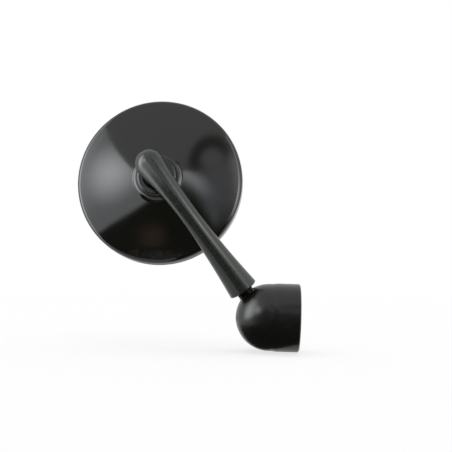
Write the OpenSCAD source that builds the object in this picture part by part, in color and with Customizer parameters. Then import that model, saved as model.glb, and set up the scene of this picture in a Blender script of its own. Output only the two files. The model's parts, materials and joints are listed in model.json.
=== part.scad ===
// Round mirror on a curved arm, carried by a domed cap that fits over the end of a handlebar.
// The origin is the middle of the cap's mouth. X runs along the bar, out of the mouth, and Z is up.

/* [Bar cap] */
// Outside diameter of the cap at its mouth
cap_mouth_d = 38.5; // [36:0.1:44]
// Outside diameter of the dome
cap_dome_d = 37.8; // [35:0.1:38.4]
// Length of the wider band at the mouth
cap_band = 12.4; // [8:0.1:13.5]
// Length of the slight taper from the band to the dome's diameter
cap_taper = 2.8; // [1:0.1:3.4]
// Length from the mouth to the middle of the dome
cap_straight = 17; // [15:0.5:24]
// Chamfer around the mouth
cap_edge = 0.6; // [0.2:0.1:1]
// Diameter of the handlebar
bar_d = 22.2; // [20:0.1:23]
// Clearance all round the bar
bar_fit = 0.05; // [0.02:0.01:0.1]
// Wall of the split sleeve on the bar
sleeve_wall = 1.55; // [1:0.05:1.9]
// Width of the sleeve's slot
sleeve_slot = 2; // [1:0.5:4]
// Depth of the socket that takes the bar
socket_depth = 20; // [16:0.5:20.5]

/* [Bar screws] */
// Thread diameter of the two screws that clamp the bar
bar_screw_d = 6; // [4:0.5:6]
// Distance of the first screw from the mouth
bar_screw_from_mouth = 5.5; // [4:0.5:7]
// Distance between the two screws
bar_screw_pitch = 9; // [7:0.5:10]
// Direction of the screws around the bar, counted from straight up
bar_screw_turn = 220; // [170:5:270]
// How far the screws are sunk below the cap's surface
screw_sunk = 0.5; // [0.2:0.1:1]

/* [Neck stud] */
// Angle on the dome, from the bar's axis up to the stud's foot
foot_rise = 45; // [35:1:60]
// Turn of the foot about the bar's axis, towards the rider
foot_turn = 9; // [-15:1:20]
// Diameter of the stud
stud_d = 10; // [8:0.5:11]
// Length of thread in the cap
stud_in_cap = 8; // [6:0.5:9]
// Length of the stud inside the arm
stud_in_arm = 13; // [10:0.5:16]
// Diameter of the flat that is cut in the dome around the stud
spot_d = 12; // [11.5:0.5:14]
// Depth of that flat below the dome
spot_depth = 1.2; // [0.8:0.1:1.8]
// Clearance all round the stud in the arm's bore
swivel_fit = 0.06; // [0.02:0.01:0.1]
// Width of the groove that the arm's screw runs in
groove_w = 3.4; // [3:0.1:5]
// Depth of that groove
groove_depth = 0.9; // [0.5:0.1:1.2]

/* [Arm] */
// Angle of the arm's lower end from upright
arm_tilt = 38.3; // [25:0.1:55]
// Compass direction that the arm leans in, counted from X
arm_heading = -168.6; // [-190:0.1:-150]
// Turn of the arm's bend about its own lower end
arm_roll = -94.2; // [-110:0.1:-75]
// Gap between the cap's dome and the arm's end
arm_gap = 2.8; // [2:0.1:5]
// Length from the dome to the start of the bend
arm_straight = 42.9; // [30:0.1:60]
// Radius of the bend
bend_r = 100; // [70:1:140]
// Angle of the bend
bend_angle = 28.4; // [20:0.1:34]
// Diameter of the arm's lower end
arm_end_d = 17; // [15.5:0.1:18]
// Diameter at the waist
arm_waist_d = 10.4; // [8:0.1:12]
// Distance of the waist from the middle of the head
arm_waist_place = 40; // [30:1:50]
// Diameter of the round head
arm_head_d = 16.6; // [15.5:0.1:18]
// Cone angle where the head's sphere runs into the arm
head_blend = 9.5; // [6:0.5:14]
// How fast the arm widens towards its lower end
end_swell = 1.7; // [1.3:0.1:2.5]
// Chamfer around the arm's lower end
arm_edge = 0.4; // [0.2:0.1:0.8]
// Thread diameter of the screw that holds the arm on its stud
arm_screw_d = 4; // [3.5:0.5:5]

/* [Ball joint] */
// Diameter of the ball
ball_d = 12; // [10:0.5:13]
// Distance from the middle of the arm's head to the middle of the ball
ball_reach = 22; // [19:0.5:26]
// Diameter of the stud's thin neck
ball_neck_d = 5.6; // [4:0.2:6]
// Thread diameter of the stud in the arm's head
ball_thread_d = 8; // [6:1:8]
// Length of that thread
ball_thread = 10; // [8:0.5:11]
// Width across the flats of the stud's hexagon
hex_flats = 9; // [8.5:0.5:10]
// Thickness of the hexagon
hex_t = 2.8; // [2:0.1:3.5]
// Depth of the seat that is cut in the head for the hexagon
hex_seat = 1.1; // [0.8:0.1:2]
// Wall of the split liner round the ball
liner_wall = 1.35; // [1:0.05:1.6]
// Clearance between the ball, its liner and their seats
ball_fit = 0.05; // [0.02:0.01:0.1]
// Diameter of the liner's opening for the stud
liner_mouth_d = 10.8; // [10.4:0.1:11]
// Diameter of the liner's opening on the glass side
liner_back_d = 8.4; // [7:0.1:9]
// Width of the liner's split
liner_split = 0.8; // [0.5:0.1:1.5]

/* [Mirror shell] */
// Angle of the mirror's axis from upright
mirror_tilt = 80.1; // [70:0.1:90]
// Compass direction of the mirror's back, counted from X
mirror_heading = -94.5; // [-105:0.1:-80]
// Outside diameter of the shell
shell_d = 97.7; // [90:0.1:110]
// Thickness of the shell
shell_wall = 1.8; // [1.4:0.1:2.2]
// Distance from the ball's middle to the widest plane of the rim
rim_drop = 9; // [8.5:0.1:10]
// Radius of the rim's round edge
rim_round = 3; // [2.5:0.1:3.5]
// Slope of the dome where it meets the rim
dome_slope = 18; // [16:0.5:20]
// Radius of the dome's curve
dome_curve = 176; // [150:1:220]
// Height of the straight side of the rim
rim_side = 6; // [5.5:0.1:7]
// Width of the ledge that carries the glass
ledge_w = 2.6; // [2:0.1:4]

/* [Shell boss] */
// Outside diameter of the boss round the ball
boss_d = 23; // [22.4:0.2:27]
// Height of the boss above the ball's middle
boss_top = 7; // [6.5:0.1:8]
// Round on the boss's outer edge
boss_round = 1.3; // [0.6:0.1:1.6]
// Fillet between the boss and the dome
boss_fillet = 4; // [3:0.5:5]
// Diameter of the opening that holds the liner in
boss_throat_d = 12.4; // [12.2:0.1:13]
// Height of the throat above the ball's middle
boss_throat = 4.6; // [4.2:0.1:5]
// Diameter of the hollow in the top of the boss
boss_mouth_d = 16.4; // [15.6:0.2:19.4]
// How much narrower the hollow is at its floor
boss_flare = 2.4; // [0.6:0.1:2.8]

/* [Clamp] */
// Outside diameter of the pressure pad
pad_d = 18.8; // [18:0.1:19.6]
// Diameter of the hole through the pad, the spring and the plate
clamp_hole_d = 8; // [6:0.5:8.5]
// Distance from the ball's middle to the pad's upper face
pad_top = 1.2; // [1:0.1:1.6]
// Height of the pad
pad_h = 5.7; // [5.5:0.1:6]
// Room for the pad to move in
pad_room = 0.6; // [0.3:0.1:0.8]
// Thickness of the disc spring
spring_t = 0.5; // [0.3:0.1:0.7]
// Height that the disc spring takes up
spring_h = 1; // [0.8:0.1:1.2]
// Thickness of the clamp plate
plate_t = 1.6; // [1.4:0.1:2]
// Circle that the clamp screws stand on
clamp_circle_d = 31; // [30:0.2:32]
// Distance from the clamp screws' middle to the edge of the clamp plate
plate_edge = 3.7; // [3.5:0.1:5]
// Thread diameter of the clamp screws
clamp_screw_d = 3; // [2.5:0.5:3]
// Length of the clamp screws
clamp_screw_l = 6; // [5:0.5:6.5]
// Diameter of the clamp screws' heads
clamp_head_d = 5.6; // [5:0.1:6]
// Diameter of the shell's screw posts
post_d = 6.4; // [6:0.2:7]

/* [Glass] */
// Gap between the clamp plate and the glass carrier
carrier_gap = 0.7; // [0.4:0.1:1]
// Thickness of the glass carrier
carrier_t = 1.5; // [1.2:0.1:1.8]
// Thickness of the glass
glass_t = 2; // [1.6:0.1:2.2]
// Radius that the glass is bent to
glass_curve = 1200; // [800:50:2000]
// How far the edge of the glass lies inside the rim
glass_sunk = 0.3; // [0.1:0.1:0.6]
// Width of the seal round the glass
seal_w = 1.1; // [0.8:0.1:1.5]
// Clearance round the glass carrier
carrier_fit = 0.1; // [0.05:0.05:0.3]

/* [Hidden] */
$fn = 96;

// Cap and bar
mouth_r = cap_mouth_d / 2;
dome_r = cap_dome_d / 2;
bore_r = bar_d / 2 + bar_fit;
socket_r = bore_r + sleeve_wall;
bar_screw_r = bar_screw_d / 2;
bar_screw_gap = 0.05;
socket_share = 0.55;
socket_reach = 0.45;

// Stud in the cap and in the arm
stud_r = stud_d / 2;
drill_room = 0.5;
stud_key = 4;
stud_key_depth = 3;
arm_bore_r = stud_r + swivel_fit;
arm_bore_end = arm_gap + stud_in_arm + 1;
groove_place = arm_gap + stud_in_arm / 2;
arm_screw_r = arm_screw_d / 2;
arm_tip_r = groove_w / 2 - 0.2;
arm_tip_clear = 0.1;

// Arm: its centre line is straight from the dome and then bends, and its radius swells to both ends
end_r = arm_end_d / 2;
waist_r = arm_waist_d / 2;
head_r = arm_head_d / 2;
arm_line = arm_straight + bend_r * bend_angle * PI / 180;
arm_length = arm_line - arm_gap;
blend_place = head_r * sin(head_blend);
blend_r = head_r * cos(head_blend);
blend_power = tan(head_blend) * (arm_waist_place - blend_place) / (blend_r - waist_r);
arm_sides = 32;
lower_steps = 9;
upper_steps = 10;
head_steps = 8;

// Ball and liner
ball_r = ball_d / 2;
liner_in_r = ball_r + ball_fit;
liner_r = liner_in_r + liner_wall;
pocket_r = liner_r + ball_fit;
hex_place = head_r - hex_seat;
hex_r = hex_flats / 2 / cos(30);
hex_seat_r = hex_r + 0.5;
ball_neck_r = ball_neck_d / 2;
ball_thread_r = ball_thread_d / 2;

// Shell, in the mirror's own frame: the ball's middle is its origin and Z points out of its back
shell_r = shell_d / 2;
shell_in_r = shell_r - shell_wall;
rim_end = -rim_drop - rim_side;
edge_mid_r = shell_r - rim_round;
dome_end_r = edge_mid_r + rim_round * sin(dome_slope);
dome_end_z = -rim_drop + rim_round * cos(dome_slope);
dome_mid_r = dome_end_r - dome_curve * sin(dome_slope);
dome_mid_z = dome_end_z - dome_curve * cos(dome_slope);
boss_r = boss_d / 2;
fillet_mid_r = boss_r + boss_fillet;
fillet_mid_z = dome_mid_z + sqrt(pow(dome_curve + boss_fillet, 2) - pow(fillet_mid_r - dome_mid_r, 2));
fillet_share = dome_curve / (dome_curve + boss_fillet);
fillet_foot_r = dome_mid_r + (fillet_mid_r - dome_mid_r) * fillet_share;
fillet_foot_z = dome_mid_z + (fillet_mid_z - dome_mid_z) * fillet_share;

// Stack behind the ball, from the pad to the glass
pad_r = pad_d / 2;
pad_bore_r = pad_r + ball_fit;
pad_end = -pad_top - pad_h;
hub_end = pad_end - spring_h;
plate_end = hub_end - plate_t;
plate_r = clamp_circle_d / 2 + plate_edge;
post_r = post_d / 2;
clamp_r = clamp_circle_d / 2;
clamp_screw_r = clamp_screw_d / 2;
clamp_head_r = clamp_head_d / 2;
clamp_key = 2;
carrier_face = plate_end - carrier_gap;
carrier_end = carrier_face - carrier_t;
glass_r = shell_in_r - seal_w;
glass_edge_z = rim_end + glass_sunk;
glass_mid_z = glass_edge_z + sqrt(pow(glass_curve, 2) - pow(glass_r, 2));
glass_back_curve = glass_curve - glass_t;
arc_steps = 12;
reach = shell_r;

// Height of the dome's outside at a distance from the mirror's axis
function dome_z(r) = dome_mid_z + sqrt(pow(dome_curve, 2) - pow(r - dome_mid_r, 2));

function turn_z(v, a) = [v.x * cos(a) - v.y * sin(a), v.x * sin(a) + v.y * cos(a), v.z];
function turn_y(v, a) = [v.x * cos(a) + v.z * sin(a), v.y, v.z * cos(a) - v.x * sin(a)];
function from_arm(v) = turn_z(turn_y(turn_z(v, arm_roll), arm_tilt), arm_heading);

foot_way = [-cos(foot_rise), -sin(foot_rise) * sin(foot_turn), sin(foot_rise) * cos(foot_turn)];
foot = [-cap_straight, 0, 0] + dome_r * foot_way;
head_place = [bend_r * (1 - cos(bend_angle)), 0, arm_straight + bend_r * sin(bend_angle)];
ball_way = [cos(bend_angle), 0, -sin(bend_angle)];
ball_place = foot + from_arm(head_place + ball_reach * ball_way);

// Z runs along the arm's lower end, and X points to the inside of the bend
module at_foot() {
    translate(foot) rotate([0, arm_tilt, arm_heading]) rotate([0, 0, arm_roll]) children();
}

// Z runs from the middle of the arm's head to the ball
module at_head() {
    at_foot() translate(head_place) rotate([0, bend_angle + 90, 0]) children();
}

// Z runs from the middle of the ball out of the mirror's back
module at_ball() {
    translate(ball_place) rotate([0, mirror_tilt, mirror_heading]) children();
}

// Z runs straight out of the cap's wall at one of the bar screws
module at_bar_screw(i) {
    translate([-bar_screw_from_mouth - i * bar_screw_pitch, 0, 0]) rotate([bar_screw_turn, 0, 0]) children();
}

// Z runs out of the arm's side, through the groove of its stud
module at_arm_screw() {
    at_foot() translate([0, 0, groove_place]) rotate([0, 90, 0]) children();
}

// Z points out of the mirror's back at one of the three clamp screws
module at_clamp_screw(i) {
    at_ball() rotate([0, 0, 120 * i]) translate([clamp_r, 0, 0]) children();
}

// Centre line of the arm at a distance along it, and the angle that it has turned through
function line_turn(u) = u <= arm_straight ? 0 : (u - arm_straight) / bend_r * 180 / PI;
function line_point(u) = u <= arm_straight ? [0, 0, u]
    : [bend_r * (1 - cos(line_turn(u))), 0, arm_straight + bend_r * sin(line_turn(u))];

// Radius of the arm at a distance from the middle of its head
function arm_r(t) = t > arm_waist_place
    ? waist_r + (end_r - waist_r) * pow((t - arm_waist_place) / (arm_length - arm_waist_place), end_swell)
    : waist_r + (blend_r - waist_r)
        * pow((arm_waist_place - t) / (arm_waist_place - blend_place), blend_power);

function ring(mid, turn, r) = [for (k = [0:arm_sides - 1])
    mid + turn_y([r * cos(360 * k / arm_sides), r * sin(360 * k / arm_sides), 0], turn)];
function body_ring(t, r) = ring(line_point(arm_line - t), line_turn(arm_line - t), r);
function head_ring(a) = ring(head_place - head_r * sin(a) * [sin(bend_angle), 0, cos(bend_angle)],
    bend_angle, head_r * cos(a));

arm_rings = concat(
    [body_ring(arm_length, end_r - arm_edge)],
    [for (i = [0:lower_steps]) let (t = arm_length - arm_edge
        - i * (arm_length - arm_edge - arm_waist_place) / lower_steps) body_ring(t, arm_r(t))],
    [for (i = [1:upper_steps]) let (t = arm_waist_place
        - i * (arm_waist_place - blend_place) / upper_steps) body_ring(t, arm_r(t))],
    [for (i = [1:head_steps - 1]) head_ring(head_blend - i * (90 + head_blend) / head_steps)]);
ring_count = len(arm_rings);
arm_points = concat([for (r = arm_rings) each r],
    [head_place + head_r * [sin(bend_angle), 0, cos(bend_angle)]]);
arm_faces = concat(
    [[for (k = [0:arm_sides - 1]) k]],
    [for (i = [0:ring_count - 2], k = [0:arm_sides - 1]) let (m = (k + 1) % arm_sides)
        [i * arm_sides + k, (i + 1) * arm_sides + k, (i + 1) * arm_sides + m, i * arm_sides + m]],
    [for (k = [0:arm_sides - 1]) let (top = (ring_count - 1) * arm_sides)
        [top + k, ring_count * arm_sides, top + (k + 1) % arm_sides]]);

// Hexagon of a width across its flats
module hexagon(flats, h) {
    cylinder(r = flats / 2 / cos(30), h = h, $fn = 6);
}

// Headless screw from its tip at z = 0, with a hexagon socket in its outer end
module grub_screw(r, h) {
    key = socket_share * 2 * r;
    difference() {
        cylinder(r = r, h = h);
        translate([0, 0, h * (1 - socket_reach)]) hexagon(key, h);
    }
}

module bar_cap() {
    color("#121313") difference() {
        rotate([0, -90, 0]) rotate_extrude() {
            polygon([[0, 0], [mouth_r - cap_edge, 0], [mouth_r, cap_edge], [mouth_r, cap_band],
                     [dome_r, cap_band + cap_taper], [dome_r, cap_straight],
                     [0, cap_straight]]);
            intersection() {
                translate([0, cap_straight]) circle(dome_r);
                translate([0, cap_straight - 0.01]) square([reach, reach]);
            }
        }
        rotate([0, -90, 0]) translate([0, 0, -1]) cylinder(r = socket_r, h = socket_depth + 1);
        rotate([0, -90, 0]) translate([0, 0, -0.01])
            cylinder(r1 = socket_r + cap_edge, r2 = socket_r, h = cap_edge);
        at_foot() translate([0, 0, -spot_depth]) cylinder(d = spot_d, h = reach);
        at_foot() translate([0, 0, -stud_in_cap - drill_room]) cylinder(r = stud_r, h = reach);
        for (i = [0:1]) at_bar_screw(i) cylinder(r = bar_screw_r, h = reach);
    }
}

module bar_sleeve() {
    color("#2b2c2e") difference() {
        rotate([0, -90, 0]) cylinder(r = socket_r, h = socket_depth);
        rotate([0, -90, 0]) translate([0, 0, -1]) cylinder(r = bore_r, h = socket_depth + 2);
        rotate([bar_screw_turn + 180, 0, 0]) translate([-socket_depth - 1, -sleeve_slot / 2, 0])
            cube([socket_depth + 2, sleeve_slot, reach]);
    }
}

module bar_screw(i) {
    wall_r = bar_screw_from_mouth + i * bar_screw_pitch < cap_band ? mouth_r : dome_r;
    color("#26272a") at_bar_screw(i) translate([0, 0, socket_r + bar_screw_gap])
        grub_screw(bar_screw_r, wall_r - screw_sunk - socket_r - bar_screw_gap);
}

module neck_stud() {
    color("#17181a") at_foot() difference() {
        translate([0, 0, -stud_in_cap]) cylinder(r = stud_r, h = stud_in_cap + arm_gap + stud_in_arm);
        translate([0, 0, groove_place - groove_w / 2]) difference() {
            cylinder(r = stud_r + 1, h = groove_w);
            translate([0, 0, -1]) cylinder(r = stud_r - groove_depth, h = groove_w + 2);
        }
        translate([0, 0, arm_gap + stud_in_arm - stud_key_depth]) hexagon(stud_key, stud_key_depth + 1);
    }
}

module arm() {
    color("#101112") difference() {
        at_foot() polyhedron(arm_points, arm_faces);
        at_foot() cylinder(r = arm_bore_r, h = arm_bore_end);
        at_arm_screw() cylinder(r = arm_screw_r, h = reach);
        at_head() translate([0, 0, hex_place]) cylinder(r = hex_seat_r, h = reach);
        at_head() translate([0, 0, hex_place - ball_thread - drill_room])
            cylinder(r = ball_thread_r, h = reach);
    }
}

module arm_screw() {
    body_start = arm_bore_r + 0.1;
    body_end = arm_r(arm_line - groove_place) - screw_sunk;
    tip_start = stud_r - groove_depth + arm_tip_clear;
    color("#26272a") at_arm_screw() {
        translate([0, 0, body_start]) grub_screw(arm_screw_r, body_end - body_start);
        translate([0, 0, tip_start]) cylinder(r = arm_tip_r, h = body_start - tip_start);
    }
}

module ball_stud() {
    color("#232426") at_head() {
        translate([0, 0, hex_place - ball_thread]) cylinder(r = ball_thread_r, h = ball_thread);
        translate([0, 0, hex_place]) hexagon(hex_flats, hex_t);
        translate([0, 0, hex_place]) cylinder(r = ball_neck_r, h = ball_reach - hex_place);
        translate([0, 0, ball_reach]) sphere(ball_r);
    }
}

module ball_liner() {
    color("#232325") at_ball() difference() {
        sphere(liner_r);
        sphere(liner_in_r);
        cylinder(d = liner_mouth_d, h = reach);
        translate([0, 0, -reach]) cylinder(d = liner_back_d, h = reach);
        translate([0, -liner_split / 2, -reach / 2]) cube([reach, liner_split, reach]);
    }
}

module pressure_pad() {
    color("#232325") at_ball() difference() {
        translate([0, 0, pad_end]) cylinder(r = pad_r, h = pad_h);
        sphere(pocket_r);
        translate([0, 0, -reach]) cylinder(d = clamp_hole_d, h = reach);
    }
}

// Outside of the shell as a half section, dome, rim and boss, filled down to the rim's end
module shell_outline() {
    intersection() {
        translate([dome_mid_r, dome_mid_z]) circle(dome_curve);
        translate([0, rim_end]) square([dome_end_r, -rim_end + boss_top]);
    }
    translate([edge_mid_r, -rim_drop]) circle(rim_round);
    translate([0, rim_end]) square([shell_r, rim_side]);
    square([boss_r - boss_round, boss_top]);
    square([boss_r, boss_top - boss_round]);
    translate([boss_r - boss_round, boss_top - boss_round]) circle(boss_round);
    difference() {
        polygon([[boss_r - 1, fillet_mid_z], [fillet_mid_r, fillet_mid_z], [fillet_foot_r, fillet_foot_z],
                 [fillet_foot_r, fillet_foot_z - 1], [boss_r - 1, fillet_foot_z - 1]]);
        translate([fillet_mid_r, fillet_mid_z]) circle(boss_fillet);
    }
}

// Hollow of the shell as a half section, with the ledge that the glass carrier lies on
module shell_hollow() {
    intersection() {
        translate([dome_mid_r, dome_mid_z]) circle(dome_curve - shell_wall);
        translate([0, rim_end]) square([shell_in_r - ledge_w, -rim_end + boss_top]);
    }
    translate([0, rim_end - 1]) square([shell_in_r, carrier_face - rim_end + 1]);
}

module mirror_shell() {
    color("#121313") at_ball() difference() {
        union() {
            rotate_extrude() difference() {
                shell_outline();
                shell_hollow();
            }
            translate([0, 0, hub_end]) cylinder(r = boss_r, h = dome_z(boss_r) - shell_wall / 2 - hub_end);
            for (i = [0:2]) rotate([0, 0, 120 * i]) translate([clamp_r, 0, hub_end])
                cylinder(r = post_r, h = dome_z(clamp_r + post_r) - shell_wall / 2 - hub_end);
        }
        sphere(pocket_r);
        translate([0, 0, hub_end - 1]) cylinder(r = pad_bore_r, h = 1 - hub_end - pad_top + pad_room);
        cylinder(d = boss_throat_d, h = reach);
        translate([0, 0, boss_throat])
            cylinder(d1 = boss_mouth_d - boss_flare, d2 = boss_mouth_d, h = boss_top - boss_throat);
        for (i = [0:2]) rotate([0, 0, 120 * i]) translate([clamp_r, 0, plate_end])
            cylinder(r = clamp_screw_r, h = clamp_screw_l + drill_room);
    }
}

module disc_spring() {
    inner = clamp_hole_d / 2 + 0.6;
    outer = pad_r - 0.2;
    color("#a7a9ac") at_ball() rotate_extrude()
        polygon([[inner, hub_end], [outer, pad_end - spring_t], [outer, pad_end],
                 [inner, hub_end + spring_t]]);
}

module clamp_plate() {
    color("#b4b7ba") at_ball() difference() {
        translate([0, 0, plate_end]) cylinder(r = plate_r, h = plate_t);
        translate([0, 0, plate_end - 1]) cylinder(d = clamp_hole_d, h = plate_t + 2);
        for (i = [0:2]) rotate([0, 0, 120 * i]) translate([clamp_r, 0, plate_end]) {
            cylinder(r = clamp_screw_r, h = plate_t + 1);
            cylinder(r1 = clamp_head_r, r2 = clamp_screw_r, h = clamp_head_r - clamp_screw_r);
        }
    }
}

module clamp_screw(i) {
    color("#9a9c9f") at_clamp_screw(i) translate([0, 0, plate_end]) difference() {
        union() {
            cylinder(r = clamp_screw_r, h = clamp_screw_l);
            cylinder(r1 = clamp_head_r, r2 = clamp_screw_r, h = clamp_head_r - clamp_screw_r);
        }
        translate([0, 0, -1]) hexagon(clamp_key, 2);
    }
}

module glass_carrier() {
    color("#1d1e20") at_ball() translate([0, 0, carrier_end])
        cylinder(r = shell_in_r - carrier_fit, h = carrier_t);
}

// Points of one face of the bent glass, from its middle to its edge
function glass_arc(curve) = [for (i = [0:arc_steps]) let (r = glass_r * i / arc_steps)
    [r, glass_mid_z - sqrt(pow(curve, 2) - r * r)]];
function backwards(list) = [for (i = [len(list) - 1:-1:0]) list[i]];

module foam_pad() {
    color("#3a3b3c") at_ball() rotate_extrude()
        polygon(concat(glass_arc(glass_back_curve), [[glass_r, carrier_end], [0, carrier_end]]));
}

module rim_seal() {
    color("#18191a") at_ball() translate([0, 0, glass_edge_z]) difference() {
        cylinder(r = shell_in_r, h = carrier_end - glass_edge_z);
        translate([0, 0, -1]) cylinder(r = glass_r, h = reach);
    }
}

module mirror_glass() {
    color("#c9d3d8") at_ball() rotate_extrude()
        polygon(concat(glass_arc(glass_curve), backwards(glass_arc(glass_back_curve))));
}

bar_cap();
bar_sleeve();
bar_screw(0);  // bar_screw_1
bar_screw(1);  // bar_screw_2
neck_stud();
arm();
arm_screw();
ball_stud();
ball_liner();
pressure_pad();
mirror_shell();
disc_spring();
clamp_plate();
clamp_screw(0);  // clamp_screw_1
clamp_screw(1);  // clamp_screw_2
clamp_screw(2);  // clamp_screw_3
glass_carrier();
foam_pad();
rim_seal();
mirror_glass();
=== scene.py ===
import json
import math

import bmesh
import bpy
from bpy.props import (
    FloatProperty, FloatVectorProperty, IntProperty, PointerProperty, StringProperty)
from mathutils import Matrix, Vector


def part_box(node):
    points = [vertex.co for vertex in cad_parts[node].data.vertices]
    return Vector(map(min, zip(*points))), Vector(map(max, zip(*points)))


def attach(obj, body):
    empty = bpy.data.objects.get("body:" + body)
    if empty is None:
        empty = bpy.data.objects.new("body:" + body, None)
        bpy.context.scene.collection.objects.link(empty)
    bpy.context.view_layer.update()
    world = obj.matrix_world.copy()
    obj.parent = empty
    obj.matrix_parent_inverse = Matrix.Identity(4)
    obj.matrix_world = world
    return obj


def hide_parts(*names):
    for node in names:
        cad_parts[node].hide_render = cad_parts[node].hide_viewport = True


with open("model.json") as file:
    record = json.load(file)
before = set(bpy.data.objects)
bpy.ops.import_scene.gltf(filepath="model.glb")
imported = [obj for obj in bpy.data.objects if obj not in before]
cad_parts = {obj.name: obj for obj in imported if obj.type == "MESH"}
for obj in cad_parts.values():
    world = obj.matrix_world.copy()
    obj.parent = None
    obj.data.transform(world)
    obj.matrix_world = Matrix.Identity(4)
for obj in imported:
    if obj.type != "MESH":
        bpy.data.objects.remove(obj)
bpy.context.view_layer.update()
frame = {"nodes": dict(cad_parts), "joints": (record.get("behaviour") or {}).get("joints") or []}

bl_info = {
    "name": "Bar End Mirror",
    "version": (1, 0, 0),
    "blender": (4, 5, 0),
    "location": "3D View > Sidebar > Bar End Mirror",
    "description": "Finishes and photographs a round handlebar mirror, from the frame's solids",
    "category": "Object",
}

NODES = frame["nodes"]
# The floor lies just under the lowest point of the cap
FLOOR_GAP = 0.0003
FLOOR_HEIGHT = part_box("bar_cap")[0].z - FLOOR_GAP
# Middle of the mirror's back, from which the lights are placed
MIRROR_MIDDLE = sum(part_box("mirror_shell"), Vector()) / 2


# Sizes and colours that a user may change

def length_property(name, description, default):
    """A length in metres."""
    return FloatProperty(name=name, description=description, default=default, unit="LENGTH")


def angle_property(name, description, degrees):
    """An angle, given here in degrees."""
    return FloatProperty(
        name=name, description=description, default=math.radians(degrees), subtype="ANGLE")


def number_property(name, description, default):
    """A number without a unit of its own."""
    return FloatProperty(name=name, description=description, default=default)


def count_property(name, description, default):
    """A number of points or rings."""
    return IntProperty(name=name, description=description, default=default)


def colour_property(name, description, default):
    """A colour that is kept as an sRGB hex value."""
    return StringProperty(name=name, description=description, default=default)


class ArmSizes(bpy.types.PropertyGroup):
    """Sizes of the curved arm, the same as those of its solid."""

    tilt: angle_property("Tilt", "Angle of the arm's lower end from upright", 38.3)
    heading: angle_property("Heading", "Compass direction that the arm leans in, from X", -168.6)
    roll: angle_property("Roll", "Turn of the bend about the arm's lower end", -94.2)
    gap: length_property("Gap", "Gap between the cap and the arm's end", 0.0028)
    straight: length_property("Straight", "Length from the cap to the start of the bend", 0.0429)
    bend_radius: length_property("Bend radius", "Radius of the centre line's bend", 0.1)
    bend_angle: angle_property("Bend angle", "Angle that the bend turns through", 28.4)
    end_width: length_property("End width", "Diameter of the lower end", 0.017)
    waist_width: length_property("Waist width", "Diameter at the waist", 0.0104)
    waist_place: length_property(
        "Waist place", "Distance of the waist from the middle of the head", 0.04)
    head_width: length_property("Head width", "Diameter of the round head", 0.0166)
    head_blend: angle_property("Head blend", "Cone angle where the head runs into the arm", 9.5)
    end_swell: number_property("End swell", "How fast the arm widens towards its lower end", 1.7)
    end_round: length_property("End round", "Chamfer round the lower end", 0.0004)
    bore_width: length_property("Bore width", "Diameter of the bore for the neck stud", 0.01012)
    bore_depth: length_property("Bore depth", "Depth of the bore for the neck stud", 0.014)
    screw_place: length_property(
        "Screw place", "Distance of the locking screw from the cap's dome", 0.0093)
    screw_width: length_property(
        "Screw width", "Diameter of the hole for the locking screw", 0.004)
    seat_width: length_property(
        "Seat width", "Diameter of the seat for the ball stud's hexagon", 0.011392)
    seat_depth: length_property(
        "Seat depth", "Depth of that seat below the head's surface", 0.0011)
    sides: count_property("Sides", "Number of points round the arm", 128)


class StudSizes(bpy.types.PropertyGroup):
    """Sizes of the threaded stud between the cap and the arm."""

    width: length_property("Width", "Thread diameter", 0.01)
    pitch: length_property("Pitch", "Thread pitch", 0.00125)
    depth: length_property("Depth", "Depth of the thread", 0.00068)
    in_cap: length_property("In cap", "Length inside the cap", 0.008)
    in_arm: length_property("In arm", "Length inside the arm", 0.013)
    groove_width: length_property("Groove width", "Width of the locking groove", 0.0034)
    groove_depth: length_property("Groove depth", "Depth of the locking groove", 0.0009)
    chamfer: length_property("Chamfer", "Chamfer at both ends", 0.0006)
    sides: count_property("Sides", "Number of points round the stud", 96)


class GlassSizes(bpy.types.PropertyGroup):
    """Sizes of the bent glass."""

    width: length_property("Width", "Diameter of the glass", 0.0919)
    thickness: length_property("Thickness", "Thickness of the glass", 0.002)
    bend_radius: length_property("Bend radius", "Radius that the glass is bent to", 1.2)
    edge_depth: length_property(
        "Edge depth", "Distance along the mirror's axis from the ball's middle to the edge", 0.0147)
    ground: length_property("Ground edge", "Width of the ground chamfer at the edge", 0.0003)
    steps: count_property("Steps", "Number of rings on each face", 24)
    sides: count_property("Sides", "Number of points round the glass", 160)


class FinishColours(bpy.types.PropertyGroup):
    """Colours of the finishes, as sRGB hex values."""

    coat: colour_property("Coat", "Gloss powder coat on the mirror's shell", "#11130F")
    satin: colour_property("Satin coat", "Satin powder coat on the cap", "#10120E")
    arm_coat: colour_property("Arm coat", "Satin wet paint on the arm", "#1F241E")
    nylon: colour_property("Nylon", "Sleeve in the cap, liner and pad round the ball", "#26272A")
    blacked: colour_property(
        "Blacked steel", "Bar and arm screws, neck stud and ball stud", "#3A3836")
    zinc: colour_property("Zinc plate", "Spring, clamp plate and its screws", "#B9BCBE")
    abs_black: colour_property("Black ABS", "Carrier behind the glass", "#1B1C1E")
    foam: colour_property("Foam", "Pad between carrier and glass", "#37383A")
    rubber: colour_property("Rubber", "Seal round the glass", "#18181A")
    silver: colour_property("Silver", "Silvered back of the glass", "#EDF1EF")


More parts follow.
